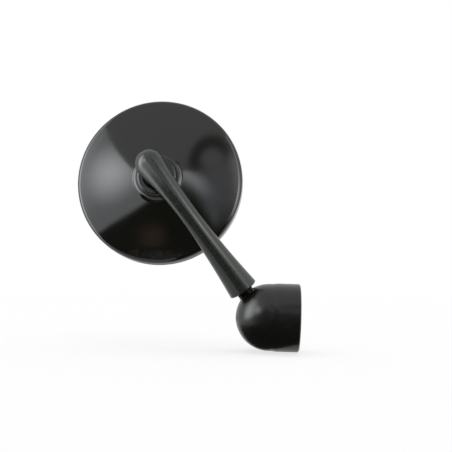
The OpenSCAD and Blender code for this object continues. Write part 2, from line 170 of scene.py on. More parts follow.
class StageSettings(bpy.types.PropertyGroup):
    """Camera, floor and lights."""

    focal: number_property("Focal length", "Focal length in millimetres on a 36 mm sensor", 91.59)
    camera_place: FloatVectorProperty(
        name="Camera place", description="Place of the camera",
        default=(-0.04291, -0.650147, 0.050875), subtype="TRANSLATION", precision=5)
    camera_roll: angle_property("Camera roll", "Roll of the camera about its own axis", 1.7)
    world_level: number_property(
        "World level", "Light of the white surroundings on dull surfaces", 0.85)
    floor_colour: colour_property("Floor colour", "Paper of the floor", "#F4F4F4")
    lamp_power: FloatProperty(
        name="Lamp power", description="Power of the overhead lamp", default=3.0, unit="POWER")
    left_box: number_property("Left box", "Brightness of the large softbox on the left", 2.05)
    left_lamp: number_property(
        "Left lamp", "Extra brightness in front of the lamp of that softbox", 5.2)
    right_box: number_property("Right box", "Brightness of the softbox on the right", 2.7)
    window: number_property("Window", "Extra brightness of the small window on the right", 3.1)


# Materials

# Noise seldom leaves the middle of its range, so tones and roughness run across that part only
TONE_RANGE = (0.35, 0.65)
ROUGH_RANGE = (0.3, 0.7)


def linear(hex_colour):
    """The linear colour of an sRGB hex value."""
    parts = [int(hex_colour[i:i + 2], 16) / 255 for i in (1, 3, 5)]
    return [c / 12.92 if c <= 0.04045 else ((c + 0.055) / 1.055) ** 2.4 for c in parts] + [1.0]


def lighter(hex_colour, step):
    """The hex value with each channel raised by a step of 255."""
    channels = [min(255, max(0, int(hex_colour[i:i + 2], 16) + step)) for i in (1, 3, 5)]
    return "#" + "".join("%02X" % c for c in channels)


def per_metre(millimetres):
    """The scale of a pattern whose features are that many millimetres apart."""
    return 1000 / millimetres


def add_node(tree, kind, settings=None, inputs=None):
    """A new node, with its settings, and for each input a value or the socket that feeds it."""
    made = tree.nodes.new(kind)
    for name, value in (settings or {}).items():
        setattr(made, name, value)
    for name, value in (inputs or {}).items():
        if isinstance(value, bpy.types.NodeSocket):
            tree.links.new(value, made.inputs[name])
        else:
            made.inputs[name].default_value = value
    return made


def start_material(name, **constants):
    """A new material with its tree, its shader set to those constants, and its place in metres."""
    material = bpy.data.materials.new(name)
    material.use_nodes = True
    tree = material.node_tree
    shader = tree.nodes["Principled BSDF"]
    for socket, value in constants.items():
        shader.inputs[socket].default_value = value
    place = add_node(tree, "ShaderNodeTexCoord").outputs["Object"]
    return material, tree, shader, place


def finish_surface(tree, shader, spots, tones, roughness, height, depth_mm):
    """Runs the colour between two tones and the roughness between two values, where it has two,
    along with the spots, and raises the surface by the height."""
    ramp = add_node(tree, "ShaderNodeValToRGB", inputs={"Fac": spots})
    for stop, share, tone in zip(ramp.color_ramp.elements, TONE_RANGE, tones):
        stop.position = share
        stop.color = linear(tone)
    tree.links.new(ramp.outputs["Color"], shader.inputs["Base Color"])
    if roughness:
        spread = add_node(tree, "ShaderNodeMapRange", inputs={
            "Value": spots, "From Min": ROUGH_RANGE[0], "From Max": ROUGH_RANGE[1],
            "To Min": roughness[0], "To Max": roughness[1]})
        tree.links.new(spread.outputs["Result"], shader.inputs["Roughness"])
    bump = add_node(tree, "ShaderNodeBump", inputs={
        "Height": height, "Distance": depth_mm / 1000, "Strength": 1.0})
    tree.links.new(bump.outputs["Normal"], shader.inputs["Normal"])


def gloss_powder_coat(colour):
    """Die-cast aluminium under gloss black polyester powder coat, cured smooth."""
    # The eye sees a black mirror: deep colour, sharp lights, and a very slight orange peel of
    # about 2 mm
    material, tree, shader, place = start_material("gloss_powder_coat", IOR=1.5, Metallic=0.0)
    dust = add_node(tree, "ShaderNodeTexNoise", inputs={
        "Vector": place, "Scale": per_metre(9.0), "Detail": 4.0}).outputs["Fac"]
    peel = add_node(tree, "ShaderNodeTexNoise", inputs={
        "Vector": place, "Scale": per_metre(2.2), "Detail": 1.0}).outputs["Fac"]
    finish_surface(tree, shader, dust, (colour, lighter(colour, 2)), (0.085, 0.11), peel, 0.0006)
    return material


def satin_powder_coat(colour):
    """Turned aluminium under satin black powder coat with a fine texture."""
    # The eye sees a softer black: lights spread into patches without edges, over a grain of
    # about 0.5 mm
    material, tree, shader, place = start_material("satin_powder_coat", IOR=1.45, Metallic=0.0)
    dust = add_node(tree, "ShaderNodeTexNoise", inputs={
        "Vector": place, "Scale": per_metre(7.0), "Detail": 4.0}).outputs["Fac"]
    grain = add_node(tree, "ShaderNodeTexNoise", inputs={
        "Vector": place, "Scale": per_metre(0.5), "Detail": 2.0}).outputs["Fac"]
    finish_surface(tree, shader, dust, (colour, lighter(colour, 3)), (0.26, 0.31), grain, 0.0008)
    return material


def satin_arm_paint(colour):
    """Die-cast aluminium, linished by hand, under a thin satin black paint."""
    # The eye sees a greyer black than the cap's, faintly mottled green and blue in patches of
    # about 1.5 mm
    material, tree, shader, place = start_material("satin_arm_paint", IOR=1.5, Metallic=0.0)
    mottle = add_node(tree, "ShaderNodeTexNoise", inputs={
        "Vector": place, "Scale": per_metre(1.5), "Detail": 4.0, "Roughness": 0.6}).outputs["Fac"]
    grain = add_node(tree, "ShaderNodeTexNoise", inputs={
        "Vector": place, "Scale": per_metre(0.8), "Detail": 2.0}).outputs["Fac"]
    finish_surface(tree, shader, mottle, (colour, "#272D29"), (0.2, 0.28), grain, 0.0015)
    return material


def moulded_nylon(colour):
    """Black nylon 66, injection moulded with a spark-eroded grain."""
    # The eye sees a soft satin black with a fine grain; the grain of 0.1 mm is drawn at 0.35 mm to
    # show. Its hollows are painted darker than its peaks, as painted shade
    material, tree, shader, place = start_material("moulded_nylon", IOR=1.53, Metallic=0.0)
    grain = add_node(tree, "ShaderNodeTexNoise", inputs={
        "Vector": place, "Scale": per_metre(0.35), "Detail": 2.0}).outputs["Fac"]
    # The grain's height sets the tone as well: painted shade darkens its hollows
    finish_surface(tree, shader, grain, (colour, lighter(colour, 8)), (0.48, 0.62), grain, 0.012)
    return material


def blacked_steel(colour):
    """Alloy steel screws and studs, turned and black oxided, then oiled."""
    # The eye sees dark metal with a brownish cast, brighter where the oil lies thicker
    material, tree, shader, place = start_material("blacked_steel", Metallic=1.0)
    oil = add_node(tree, "ShaderNodeTexNoise", inputs={
        "Vector": place, "Scale": per_metre(1.6), "Detail": 5.0, "Roughness": 0.6}).outputs["Fac"]
    grain = add_node(tree, "ShaderNodeTexNoise", inputs={
        "Vector": place, "Scale": per_metre(0.3), "Detail": 3.0}).outputs["Fac"]
    finish_surface(tree, shader, oil, (colour, lighter(colour, 14)), (0.3, 0.46), grain, 0.004)
    return material


def zinc_plate(colour):
    """Mild steel, turned or pressed, then bright zinc plated."""
    # The eye sees silvery metal with a faint bluish cloud and fine crystals of about 0.4 mm
    material, tree, shader, place = start_material("zinc_plate", Metallic=1.0)
    cloud = add_node(tree, "ShaderNodeTexNoise", inputs={
        "Vector": place, "Scale": per_metre(3.0), "Detail": 4.0}).outputs["Fac"]
    crystals = add_node(tree, "ShaderNodeTexNoise", inputs={
        "Vector": place, "Scale": per_metre(0.4), "Detail": 3.0}).outputs["Fac"]
    finish_surface(tree, shader, cloud, (colour, lighter(colour, 12)), (0.2, 0.32), crystals, 0.002)
    return material


def moulded_abs(colour):
    """Black ABS, injection moulded in a polished tool."""
    # The eye sees a semi-gloss black with faint flow marks of about 4 mm
    material, tree, shader, place = start_material("moulded_abs", IOR=1.54, Metallic=0.0)
    flow = add_node(tree, "ShaderNodeTexNoise", inputs={
        "Vector": place, "Scale": per_metre(4.0), "Detail": 3.0}).outputs["Fac"]
    grain = add_node(tree, "ShaderNodeTexNoise", inputs={
        "Vector": place, "Scale": per_metre(0.8), "Detail": 3.0}).outputs["Fac"]
    finish_surface(tree, shader, flow, (colour, lighter(colour, 5)), (0.26, 0.36), grain, 0.004)
    return material


def foam_sheet(colour):
    """Closed-cell polyethylene foam, cut from sheet."""
    # The eye sees a dull dark grey, pitted all over by cell hollows of about 0.5 mm; each hollow is
    # painted darker, as painted shade
    material, tree, shader, place = start_material(
        "foam_sheet", IOR=1.5, Metallic=0.0, Roughness=0.9)
    cells_and_pit_shade = add_node(tree, "ShaderNodeTexVoronoi", inputs={
        "Vector": place, "Scale": per_metre(0.5)}).outputs["Distance"]
    # Cell depth sets the tone as well as the relief: painted shade darkens each hollow
    finish_surface(tree, shader, cells_and_pit_shade, (lighter(colour, -16), colour), None, cells_and_pit_shade, 0.08)
    return material


def seal_rubber(colour):
    """Black EPDM rubber, extruded and joined into a ring."""
    # The eye sees a dull black with a slight bloom and a fine skin
    material, tree, shader, place = start_material("seal_rubber", IOR=1.5, Metallic=0.0)
    bloom = add_node(tree, "ShaderNodeTexNoise", inputs={
        "Vector": place, "Scale": per_metre(2.5), "Detail": 4.0}).outputs["Fac"]
    skin = add_node(tree, "ShaderNodeTexNoise", inputs={
        "Vector": place, "Scale": per_metre(0.25), "Detail": 3.0}).outputs["Fac"]
    finish_surface(tree, shader, bloom, (colour, lighter(colour, 10)), (0.5, 0.7), skin, 0.006)
    return material


def silvered_glass(colour):
    """Float glass of 2 mm, bent slightly convex and silvered on its back."""
    # The eye sees the surroundings; only a breath of haze of about 12 mm breaks the mirror
    material, tree, shader, place = start_material("silvered_glass", Metallic=1.0)
    haze = add_node(tree, "ShaderNodeTexNoise", inputs={
        "Vector": place, "Scale": per_metre(12.0), "Detail": 5.0}).outputs["Fac"]
    waves = add_node(tree, "ShaderNodeTexNoise", inputs={
        "Vector": place, "Scale": per_metre(30.0), "Detail": 1.0}).outputs["Fac"]
    finish_surface(tree, shader, haze, (lighter(colour, -6), colour), (0.008, 0.03), waves, 0.0006)
    return material


FINISHES = {
    "coat": gloss_powder_coat,
    "satin": satin_powder_coat,
    "arm_coat": satin_arm_paint,
    "nylon": moulded_nylon,
    "blacked": blacked_steel,
    "zinc": zinc_plate,
    "abs_black": moulded_abs,
    "foam": foam_sheet,
    "rubber": seal_rubber,
    "silver": silvered_glass,
}


def finish_of(name):
    """The material of that finish, made the first time that it is asked for."""
    maker = FINISHES[name]
    colours = bpy.context.scene.mirror_colours
    return bpy.data.materials.get(maker.__name__) or maker(getattr(colours, name))


def dress(piece, finish):
    """Gives the whole piece one finish."""
    piece.data.materials.clear()
    piece.data.materials.append(finish_of(finish))


def dress_nodes(finish, *names):
    """Gives solids of the frame a finish, with their shape as it is."""
    for name in names:
        dress(NODES[name], finish)


# Mesh helpers

SHARP_ANGLE = math.radians(35)
ROD_SIDES = 64


def add_piece(name, mesh):
    """An object of the scene with that mesh, smooth except across its sharp edges."""
    for face in mesh.polygons:
        face.use_smooth = True
    mesh.set_sharp_from_angle(angle=SHARP_ANGLE)
    piece = bpy.data.objects.new(name, mesh)
    bpy.context.scene.collection.objects.link(piece)
    return piece


def mesh_of_rings(name, rings):
    """A closed mesh through rings of as many points each; the first and last ring are points."""
    built = bmesh.new()
    rows = [[built.verts.new(p) for p in ring] for ring in rings]
    for low, high in zip(rows, rows[1:]):
        sides = max(len(low), len(high))
        for k in range(sides):
            m = (k + 1) % sides
            if len(low) == 1:
                built.faces.new((low[0], high[m], high[k]))
            elif len(high) == 1:
                built.faces.new((low[k], low[m], high[0]))
            else:
                built.faces.new((low[k], low[m], high[m], high[k]))
    bmesh.ops.recalc_face_normals(built, faces=built.faces)
    mesh = bpy.data.meshes.new(name)
    built.to_mesh(mesh)
    built.free()
    return mesh


def raised(place, height):
    """A frame moved along its own Z."""
    return place @ Matrix.Translation((0, 0, height))


def circle(place, radius, sides):
    """Points of a circle in the plane z = 0 of a frame, or one point where the radius is 0."""
    if not radius:
        return [place @ Vector()]
    return [place @ Vector((radius * math.cos(2 * math.pi * k / sides),
                            radius * math.sin(2 * math.pi * k / sides), 0)) for k in range(sides)]


def lathe(place, profile, sides):
    """Rings round Z of a frame, through a profile of radii and heights."""
    return [circle(raised(place, height), radius, sides) for radius, height in profile]


def rod(name, place, radius, start, end):
    """A plain round cutter along Z of a frame."""
    profile = [(0, start), (radius, start), (radius, end), (0, end)]
    return mesh_of_rings(name, lathe(place, profile, ROD_SIDES))


def cut(mesh, *cutters):
    """The mesh with the cutters' space taken out of it."""
    scene = bpy.context.scene
    body = bpy.data.objects.new("uncut", mesh)
    scene.collection.objects.link(body)
    tools = []
    for cutter in cutters:
        tool = bpy.data.objects.new("cutter", cutter)
        scene.collection.objects.link(tool)
        tools.append(tool)
        step = body.modifiers.new("cut", "BOOLEAN")
        step.operation = "DIFFERENCE"
        step.solver = "EXACT"
        step.object = tool
    bpy.context.view_layer.update()
    graph = bpy.context.evaluated_depsgraph_get()
    result = bpy.data.meshes.new_from_object(body.evaluated_get(graph))
    for gone in [body, *tools]:
        bpy.data.objects.remove(gone)
    return result


# Geometry of the arm, the stud and the glass

ARM_RINGS = 90
HEAD_RINGS = 28
THREAD_RINGS_A_TURN = 12
# Share of a thread's flank that is flat at the crest and again at the root
THREAD_FLAT = 0.1
# The last ring of the thread stays this far below the end of the thread
THREAD_END_GAP = 0.0002


def joint_named(name):
    """A joint of the frame."""
    return next(joint for joint in frame["joints"] if joint["name"] == name)


def arm_frame(arm):
    """The frame at the arm's foot on the dome: Z along the arm, X to the inside of its bend."""
    turn = (Matrix.Rotation(arm.heading, 4, "Z") @ Matrix.Rotation(arm.tilt, 4, "Y")
            @ Matrix.Rotation(arm.roll, 4, "Z"))
    return Matrix.Translation(Vector(joint_named("arm_swivel")["pos_m"])) @ turn


def line_length(arm):
    """Length of the arm's centre line, from the cap's dome to the middle of the head."""
    return arm.straight + arm.bend_radius * arm.bend_angle


def line_frame(arm, along):
    """The frame on the arm's centre line at a distance from the cap's dome."""
    turn = max(0.0, (along - arm.straight) / arm.bend_radius)
    if turn:
        offset = Vector((arm.bend_radius * (1 - math.cos(turn)), 0,
                         arm.straight + arm.bend_radius * math.sin(turn)))
    else:
        offset = Vector((0, 0, along))
    return arm_frame(arm) @ Matrix.Translation(offset) @ Matrix.Rotation(turn, 4, "Y")


def head_frame(arm):
    """The frame at the middle of the arm's head, with Z towards the ball."""
    return line_frame(arm, line_length(arm)) @ Matrix.Rotation(math.pi / 2, 4, "Y")


def arm_radius(arm, t):
    """Radius of the arm at a distance from the middle of its head, along its centre line."""
    length = line_length(arm) - arm.gap
    waist = arm.waist_width / 2
    head = arm.head_width / 2
    blend_place = head * math.sin(arm.head_blend)
    blend_radius = head * math.cos(arm.head_blend)
    if t > arm.waist_place:
        share = (t - arm.waist_place) / (length - arm.waist_place)
        return waist + (arm.end_width / 2 - waist) * share ** arm.end_swell
    # With this power the swell above the waist meets the head at the slope of its cone
    power = math.tan(arm.head_blend) * (arm.waist_place - blend_place) / (blend_radius - waist)
    share = (arm.waist_place - t) / (arm.waist_place - blend_place)
    return waist + (blend_radius - waist) * share ** power


def arm_mesh(arm):
    """The arm: its blind bore, flat lower end, swelling body and round head."""
    line = line_length(arm)
    head = arm.head_width / 2
    bore = arm.bore_width / 2
    rings = lathe(line_frame(arm, arm.gap), [
        (0, arm.bore_depth), (bore, arm.bore_depth), (bore, 0),
        (arm.end_width / 2 - arm.end_round, 0)], arm.sides)
    start = line - arm.gap - arm.end_round
    blend_place = head * math.sin(arm.head_blend)
    for i in range(ARM_RINGS + 1):
        t = start + (blend_place - start) * i / ARM_RINGS
        rings.append(circle(line_frame(arm, line - t), arm_radius(arm, t), arm.sides))
    angles = [-arm.head_blend + (math.pi / 2 + arm.head_blend) * i / HEAD_RINGS
              for i in range(1, HEAD_RINGS)]
    profile = [(head * math.cos(angle), head * math.sin(angle)) for angle in angles]
    rings += lathe(line_frame(arm, line), [*profile, (0, head)], arm.sides)
    return mesh_of_rings("arm", rings)


def thread_radius(stud, gap, height, share):
    """Radius of the stud's thread at a height above the dome and at a share of the turn."""
    flank = abs(((height / stud.pitch - share) % 1) * 2 - 1)
    depth = min(1.0, max(0.0, (flank - THREAD_FLAT) / (1 - 2 * THREAD_FLAT)))
    ends = min(1.0, (height + stud.in_cap) / stud.chamfer, (gap - height) / stud.chamfer)
    return stud.width / 2 - stud.depth * depth * ends


def stud_mesh(stud, place, gap):
    """The neck stud: a helical thread in and above the cap, a grooved plain journal in the arm."""
    height = -stud.in_cap
    rings = [[place @ Vector((0, 0, height))]]
    while height < gap - THREAD_END_GAP:
        ring = []
        for k in range(stud.sides):
            angle = 2 * math.pi * k / stud.sides
            radius = thread_radius(stud, gap, height, k / stud.sides)
            ring.append(place @ Vector((
                radius * math.cos(angle), radius * math.sin(angle), height)))
        rings.append(ring)
        height += stud.pitch / THREAD_RINGS_A_TURN
    journal = stud.width / 2
    groove = journal - stud.groove_depth
    low = gap + stud.in_arm / 2 - stud.groove_width / 2
    high = low + stud.groove_width
    top = gap + stud.in_arm
    rings += lathe(place, [
        (journal, gap), (journal, low), (groove, low), (groove, high), (journal, high),
        (journal, top - stud.chamfer), (journal - stud.chamfer, top), (0, top)], stud.sides)
    return mesh_of_rings("threaded_stud", rings)


def glass_mesh(glass):
    """The bent glass: a convex face, a ground edge and a back on the same centre."""
    joint = joint_named("mirror_spin")
    turn = Vector(joint["axis"]).to_track_quat("Z", "Y").to_matrix().to_4x4()
    place = Matrix.Translation(Vector(joint["pos_m"])) @ turn
    radius = glass.width / 2
    middle = math.sqrt(glass.bend_radius ** 2 - radius ** 2) - glass.edge_depth
    back_bend = glass.bend_radius - glass.thickness

    def face_height(r, bend):
        return middle - math.sqrt(bend ** 2 - r * r)

    radii = [(radius - glass.ground) * i / glass.steps for i in range(glass.steps + 1)]
    profile = [
        *((r, face_height(r, glass.bend_radius)) for r in radii),
        (radius, face_height(radius, glass.bend_radius) + glass.ground),
        (radius, face_height(radius, back_bend) - glass.ground),
        *((r, face_height(r, back_bend)) for r in reversed(radii)),
    ]
    return mesh_of_rings("bent_glass", lathe(place, profile, glass.sides))


# Operators, one for each piece or group of like pieces

class MIRROR_OT_castings(bpy.types.Operator):
    """Coats the cap and the mirror's shell."""

    bl_idname = "mirror.castings"
    bl_label = "Castings"

    def execute(self, context):
        dress_nodes("coat", "mirror_shell")
        dress_nodes("satin", "bar_cap")
        return {"FINISHED"}


class MIRROR_OT_bar_fittings(bpy.types.Operator):
    """Finishes the sleeve in the cap and the screws that clamp the bar and the arm."""

    bl_idname = "mirror.bar_fittings"
    bl_label = "Bar fittings"

    def execute(self, context):
        dress_nodes("nylon", "bar_sleeve")
        dress_nodes("blacked", "bar_screw_1", "bar_screw_2", "arm_screw")
        return {"FINISHED"}


class MIRROR_OT_neck_stud(bpy.types.Operator):
    """Builds the stud between the cap and the arm with its real thread."""

    bl_idname = "mirror.neck_stud"
    bl_label = "Neck stud"

    def execute(self, context):
        arm = context.scene.mirror_arm
        mesh = stud_mesh(context.scene.mirror_stud, arm_frame(arm), arm.gap)
        piece = add_piece("threaded_stud", mesh)
        dress(piece, "blacked")
        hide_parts("neck_stud")
        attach(piece, "bar_end")
        return {"FINISHED"}


class MIRROR_OT_arm(bpy.types.Operator):
    """Builds the smooth curved arm with its bore, its ball stud's seat and its screw hole."""

    bl_idname = "mirror.arm"
    bl_label = "Arm"

    def execute(self, context):
        arm = context.scene.mirror_arm
        seat = arm.head_width / 2 - arm.seat_depth
        side = raised(arm_frame(arm), arm.screw_place) @ Matrix.Rotation(math.pi / 2, 4, "Y")
        mesh = cut(
            arm_mesh(arm),
            rod("seat_cutter", head_frame(arm), arm.seat_width / 2, seat, arm.head_width),
            rod("screw_cutter", side, arm.screw_width / 2, 0.0, arm.end_width),
        )
        piece = add_piece("curved_arm", mesh)
        dress(piece, "arm_coat")
        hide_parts("arm")
        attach(piece, "arm")
        return {"FINISHED"}


class MIRROR_OT_ball_joint(bpy.types.Operator):
    """Finishes the ball stud and the liner and pad that hold it."""

    bl_idname = "mirror.ball_joint"
    bl_label = "Ball joint"

    def execute(self, context):
        dress_nodes("blacked", "ball_stud")
        dress_nodes("nylon", "ball_liner", "pressure_pad")
        return {"FINISHED"}


class MIRROR_OT_clamp(bpy.types.Operator):
    """Finishes the spring, the plate and the screws inside the shell."""

    bl_idname = "mirror.clamp"
    bl_label = "Clamp"

    def execute(self, context):
        dress_nodes("zinc", "disc_spring", "clamp_plate",
                    "clamp_screw_1", "clamp_screw_2", "clamp_screw_3")
        return {"FINISHED"}


class MIRROR_OT_glass(bpy.types.Operator):
    """Builds the bent glass and finishes its carrier, foam and seal."""

    bl_idname = "mirror.glass"
    bl_label = "Glass"

    def execute(self, context):
        piece = add_piece("bent_glass", glass_mesh(context.scene.mirror_glass))
        dress(piece, "silver")
        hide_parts("mirror_glass")
        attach(piece, "mirror_head")
        dress_nodes("abs_black", "glass_carrier")
        dress_nodes("foam", "foam_pad")
        dress_nodes("rubber", "rim_seal")
        return {"FINISHED"}


# Stage

FLOOR_REACH = 6.0
# The paper glows by this share near the object, and wholly from the second distance on
FLOOR_GLOW = 0.72
FLOOR_FADE = (0.15, 0.7)
LAMP_SIZE = 0.8
LAMP_PLACE = (-0.1, 0.1, 1.0)
SENSOR_WIDTH = 36
NEAREST_SEEN = 0.01

# Directions are seen from the middle of the mirror's back, in degrees: azimuth to the right of
# -Y, and elevation above the horizon. A span holds the first and the last azimuth of a panel. An
# edge is a line through directions, as the black coat mirrors it. A spot holds the middle, the
# half width and the half height of a soft oval. A field holds azimuths and elevations. A grid
# holds how many steps a panel has along and up. A glow is the level of a felt.
BOX_DISTANCE = 0.9
WINDOW_DISTANCE = 0.89
BOOM_DISTANCE = 0.88
CARD_DISTANCE = 0.27
PATCH_DISTANCE = 0.26
FLAG_DISTANCE = 0.14
# Panels that would reach through the floor end this far above it
FLOOR_CLEARANCE = 0.0002

LEFT_SPAN = (-95, -13)
LEFT_GRID = (41, 24)
LEFT_TOP = [(-95, 60), (-56, 44), (-31, 26), (-13, 6)]
LEFT_LOW = [(-95, -62), (-75, -44), (-56, -20), (-40, -10), (-13, 5)]
LEFT_LAMP_SPOT = ((-42, 22), 20, 20)
LEFT_CORE_SPOT = ((-75, 10), 31, 60)
LEFT_CORE_SHARE = 1.15

RIGHT_SPAN = (28, 110)
RIGHT_GRID = (41, 12)
RIGHT_TOP = [(28, 47), (110, 55)]
RIGHT_LOW = [(28, -6), (60, -10), (110, -30)]
# The softbox brightens over so many degrees, and dims over so many up to an azimuth
RIGHT_RISE = 6
RIGHT_FALL = 20
RIGHT_FALL_END = 70
RIGHT_LEAST = 0.2
RIGHT_CORE_SPOT = ((60, 0), 28, 34)
RIGHT_CORE_LEVEL = 3.2
RIGHT_STRIP_SPOT = ((41, 12), 8, 38)
RIGHT_STRIP_LEVEL = 5.5

WINDOW_SPAN = (2, 26)
WINDOW_GRID = (16, 16)
WINDOW_TOP = [(2, 27), (14, 26), (26, 18)]
WINDOW_LOW = [(2, 10), (14, 3), (26, 0)]
WINDOW_SPOT = ((6, 23), 16, 11)
# The window's light lies aslant: it drops by this many degrees a degree, level at an azimuth
WINDOW_SLANT = 0.75
WINDOW_SLANT_START = 8

CARD_AZIMUTHS = range(-72, 65, 2)
CARD_TOP = [(-72, -36), (-56, -19), (-40, -9), (-13, 6), (0, 6), (12, 4), (22, -10), (64, -20)]
CARD_LOW = [(-72, -37), (-56, -36), (-30, -43), (10, -43), (28, -82)]
CARD_FADE = [(-72, 3), (-13, 3), (0, 30), (12, 20), (22, 10), (64, 8)]
CARD_FADE_ROWS = 6
CARD_ROWS = 12
CARD_GLOW = 0.07
FELT_GLOW = 0.05

PATCH_FIELD = (range(-34, 11), range(-32, 5))
PATCH_SPOT = ((-14, -15), 14, 11)
PATCH_GLOW = 0.42

RUNNER_FIELD = (range(120, 241, 4), range(-56, -5, 2))
RUNNER_SPOT = ((180, -30), 60, 25)
RUNNER_SHARE = 0.75

FLAG_FIELD = (range(29, 67), range(-28, 7))
FLAG_SHARE = 0.62
# Degrees over which the flag thins out at its left, right and upper edge
FLAG_FADES = (4, 10, 14)

BOOM_FIELD = (range(5, 35), [20 + 1.5 * k for k in range(21)])
BOOM_MIDDLE = (19.5, 33)
BOOM_RADIUS = 9.5
BOOM_HALF_WIDTH = 5
BOOM_SHARE = 0.85
# The boom's curve is open below a line that leans by this much, and fades in over so many degrees
BOOM_LEAN = 0.5
BOOM_FADE = 8


def seen_from_back(azimuth, elevation, distance):
    """The point at that distance from the middle of the mirror's back."""
    a, e = math.radians(azimuth), math.radians(elevation)
    way = Vector((math.sin(a) * math.cos(e), -math.cos(a) * math.cos(e), math.sin(e)))
    return MIRROR_MIDDLE + way * distance


def edge_at(edge, azimuth):
    """Elevation of an edge at an azimuth."""
    for (a0, e0), (a1, e1) in zip(edge, edge[1:]):
        if a0 <= azimuth <= a1:
            return e0 + (e1 - e0) * (azimuth - a0) / (a1 - a0)
    return edge[0][1] if azimuth < edge[0][0] else edge[-1][1]


def smooth(share):
    """A share kept between 0 and 1, with soft ends."""
    share = min(1.0, max(0.0, share))
    return share * share * (3 - 2 * share)


def soft_spot(azimuth, elevation, spot):
    """1 in the middle of a spot, falling smoothly to 0 at its rim."""
    middle, width, height = spot
    return smooth(1 - math.hypot((azimuth - middle[0]) / width, (elevation - middle[1]) / height))


def stage_piece(name, mesh, material):
    """A piece of the stage, which isn't part of the mirror."""
    mesh.materials.append(material)
    piece = bpy.data.objects.new(name, mesh)
    bpy.context.scene.collection.objects.link(piece)
    return piece


def columns_between(low, top, span, grid):
    """Columns of a panel between a low and a top edge."""
    found = []
    count, rows = grid
    for i in range(count + 1):
        azimuth = span[0] + (span[1] - span[0]) * i / count
        foot, head = edge_at(low, azimuth), edge_at(top, azimuth)
        found.append((azimuth, [foot + (head - foot) * k / rows for k in range(rows + 1)]))
    return found


def columns_over(field):
    """Columns of a panel over a field."""
    azimuths, elevations = field
    return [(azimuth, list(elevations)) for azimuth in azimuths]


def card_columns():
    """Columns of the dark card, with its fade above its edge and its felt below."""
    found = []
    for azimuth in CARD_AZIMUTHS:
        edge, low = edge_at(CARD_TOP, azimuth), edge_at(CARD_LOW, azimuth)
        fade = edge_at(CARD_FADE, azimuth)
        found.append((azimuth, [
            *(edge + fade * (1 - k / CARD_FADE_ROWS) for k in range(CARD_FADE_ROWS)),
            *(edge + (low - edge) * k / CARD_ROWS for k in range(CARD_ROWS + 1))]))
    return found


def panel_mesh(name, columns, distance, level):
    """A curved sheet at a distance: columns hold an azimuth and its elevations, and level gives
    the brightness that each point keeps for its cloth."""
    verts, values = [], []
    start = MIRROR_MIDDLE
    floor = FLOOR_HEIGHT + FLOOR_CLEARANCE
    for azimuth, elevations in columns:
        for elevation in elevations:
            point = seen_from_back(azimuth, elevation, distance)
            if point.z < floor:
                point = start + (point - start) * (start.z - floor) / (start.z - point.z)
            verts.append(tuple(point))
            values.append(level(azimuth, elevation))
    rows = len(columns[0][1])
    faces = [(i * rows + k, i * rows + k + 1, (i + 1) * rows + k + 1, (i + 1) * rows + k)
             for i in range(len(columns) - 1) for k in range(rows - 1)]
    mesh = bpy.data.meshes.new(name)
    mesh.from_pydata(verts, [], faces)
    mesh.attributes.new("level", "FLOAT", "POINT").data.foreach_set("value", values)
    return mesh


def hang(name, columns, distance, level, cloth):
    """A panel of the studio that only shows in gloss."""
    piece = stage_piece(name, panel_mesh(name, columns, distance, level), cloth)
    piece.visible_camera = False
    piece.visible_shadow = False
    piece.visible_diffuse = False
    piece.visible_transmission = False


def seen_by_pale_rays(tree):
    """1 for rays that show the background: from the camera, off gloss and through glass."""
    rays = add_node(tree, "ShaderNodeLightPath")
    share = rays.outputs["Is Camera Ray"]
    for name in ("Is Glossy Ray", "Is Transmission Ray"):
        share = add_node(tree, "ShaderNodeMath", {"operation": "MAXIMUM"},
                         {0: share, 1: rays.outputs[name]}).outputs[0]
    return share


def white_world(level):
    """White surroundings at a plain level for dull surfaces."""
    world = bpy.data.worlds.new("white_room")
    world.use_nodes = True
    tree = world.node_tree
    strength = add_node(tree, "ShaderNodeMapRange", inputs={
        "Value": seen_by_pale_rays(tree), "To Min": level, "To Max": 1.0}).outputs["Result"]
    back = tree.nodes["Background"]
    back.inputs["Color"].default_value = linear("#FFFFFF")
    tree.links.new(strength, back.inputs["Strength"])
    bpy.context.scene.world = world


def stage_material(name):
    """A material of the stage, with an empty output."""
    material = bpy.data.materials.new(name)
    material.use_nodes = True
    tree = material.node_tree
    tree.nodes.remove(tree.nodes["Principled BSDF"])
    return material, tree, tree.nodes["Material Output"].inputs["Surface"]


def floor_paper(colour):
    """Matt white paper that glows where it is seen, and far off melts into the white room."""
    material, tree, surface = stage_material("floor_paper")
    place = add_node(tree, "ShaderNodeTexCoord").outputs["Object"]
    far = add_node(tree, "ShaderNodeVectorMath", {"operation": "LENGTH"}, {0: place})
    share = add_node(tree, "ShaderNodeMapRange", inputs={
        "Value": far.outputs["Value"], "From Min": FLOOR_FADE[0], "From Max": FLOOR_FADE[1],
        "To Min": FLOOR_GLOW, "To Max": 1.0}).outputs["Result"]
    paper = add_node(tree, "ShaderNodeBsdfDiffuse", inputs={"Color": linear(colour)})
    glow = add_node(tree, "ShaderNodeEmission", inputs={"Strength": seen_by_pale_rays(tree)})
    both = add_node(tree, "ShaderNodeMixShader", inputs={
        "Fac": share, 1: paper.outputs["BSDF"], 2: glow.outputs["Emission"]})
    tree.links.new(both.outputs["Shader"], surface)
    return material


def glowing_cloth(name, tint):
    """A softbox's cloth, which glows at each point's own level."""
    material, tree, surface = stage_material(name)
    level = add_node(tree, "ShaderNodeAttribute", {"attribute_name": "level"}).outputs["Fac"]
    glow = add_node(tree, "ShaderNodeEmission", inputs={"Color": linear(tint), "Strength": level})
    tree.links.new(glow.outputs["Emission"], surface)
    return material


